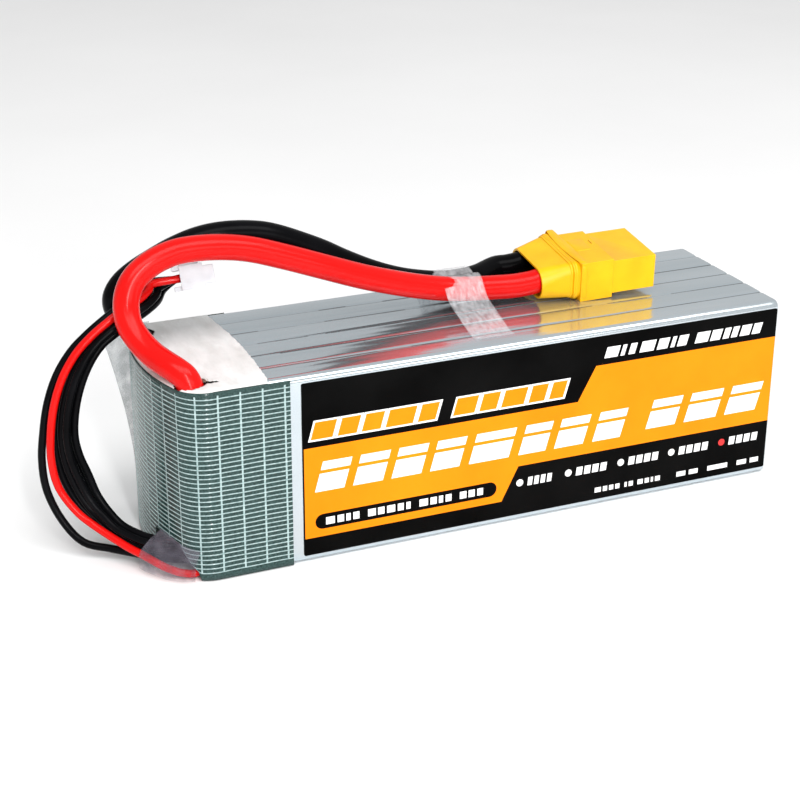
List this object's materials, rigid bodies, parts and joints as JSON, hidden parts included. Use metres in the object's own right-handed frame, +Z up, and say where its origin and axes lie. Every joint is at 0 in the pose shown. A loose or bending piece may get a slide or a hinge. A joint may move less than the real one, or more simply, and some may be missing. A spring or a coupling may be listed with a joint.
{
  "type": "lipo battery pack",
  "caption": "Soft-cased rechargeable battery pack for models, with a wrapped wire end, two power leads ending in a two-pole connector, and a multi-way balance plug.",
  "frame": {"origin": "middle of the pack's underside: halfway between the wrapped wire end and the far end, halfway across, at the bottom face", "axes": "+X along the pack from the wrapped wire end to the far end, +Y across the pack away from the labelled side, +Z up"},
  "size_m": [0.165, 0.0466, 0.0673],
  "materials": {
    "cell_foil": "satin",
    "sheet": "matte",
    "tab_aluminium": "satin",
    "tab_nickel": "satin",
    "board": "satin",
    "copper": "satin",
    "solder": "gloss",
    "foam": "matte",
    "crepe_paper": "matte",
    "grid_tape": "gloss",
    "clear_film": "gloss",
    "shrink_film": "gloss",
    "label": "gloss",
    "silicone_red": "gloss",
    "silicone_black": "gloss",
    "contact_gold": "gloss",
    "connector_yellow": "satin",
    "plug_white": "satin",
    "contact_tin": "satin"
  },
  "bodies": {
    "pack": {"cell_1": "cell_foil", "cell_2": "cell_foil", "cell_3": "cell_foil", "cell_4": "cell_foil", "cell_5": "cell_foil", "cell_6": "cell_foil", "adhesive_sheets": "sheet", "tabs_aluminium": "tab_aluminium", "tabs_nickel": "tab_nickel", "balance_board": "board", "link_pads": "copper", "solder_joints": "solder", "end_pad": "foam", "paper_cap": "crepe_paper", "end_wrap": "grid_tape", "corner_film": "clear_film", "exit_film": "clear_film", "shrink_sleeve": "shrink_film", "front_label": "label", "lead_strap": "clear_film", "power_lead_red": "silicone_red", "power_lead_black": "silicone_black", "lead_conductors": "copper", "cup_solder": "solder", "socket_plus": "contact_gold", "socket_minus": "contact_gold", "connector_housing": "connector_yellow", "balance_lead_1": "silicone_red", "balance_lead_2": "silicone_black", "balance_lead_3": "silicone_black", "balance_lead_4": "silicone_black", "balance_lead_5": "silicone_black", "balance_lead_6": "silicone_black", "balance_lead_7": "silicone_black", "balance_plug": "plug_white", "balance_contact_1": "contact_tin", "balance_contact_2": "contact_tin", "balance_contact_3": "contact_tin", "balance_contact_4": "contact_tin", "balance_contact_5": "contact_tin", "balance_contact_6": "contact_tin", "balance_contact_7": "contact_tin"},
    "cover": {"connector_cover": "connector_yellow"}
  },
  "joints": [
    {"name": "cover_slide", "type": "slide", "parent": "pack", "child": "cover", "axis": [-0.9975, 0.061, -0.0349], "range_m": [0, 0.008]}
  ]
}
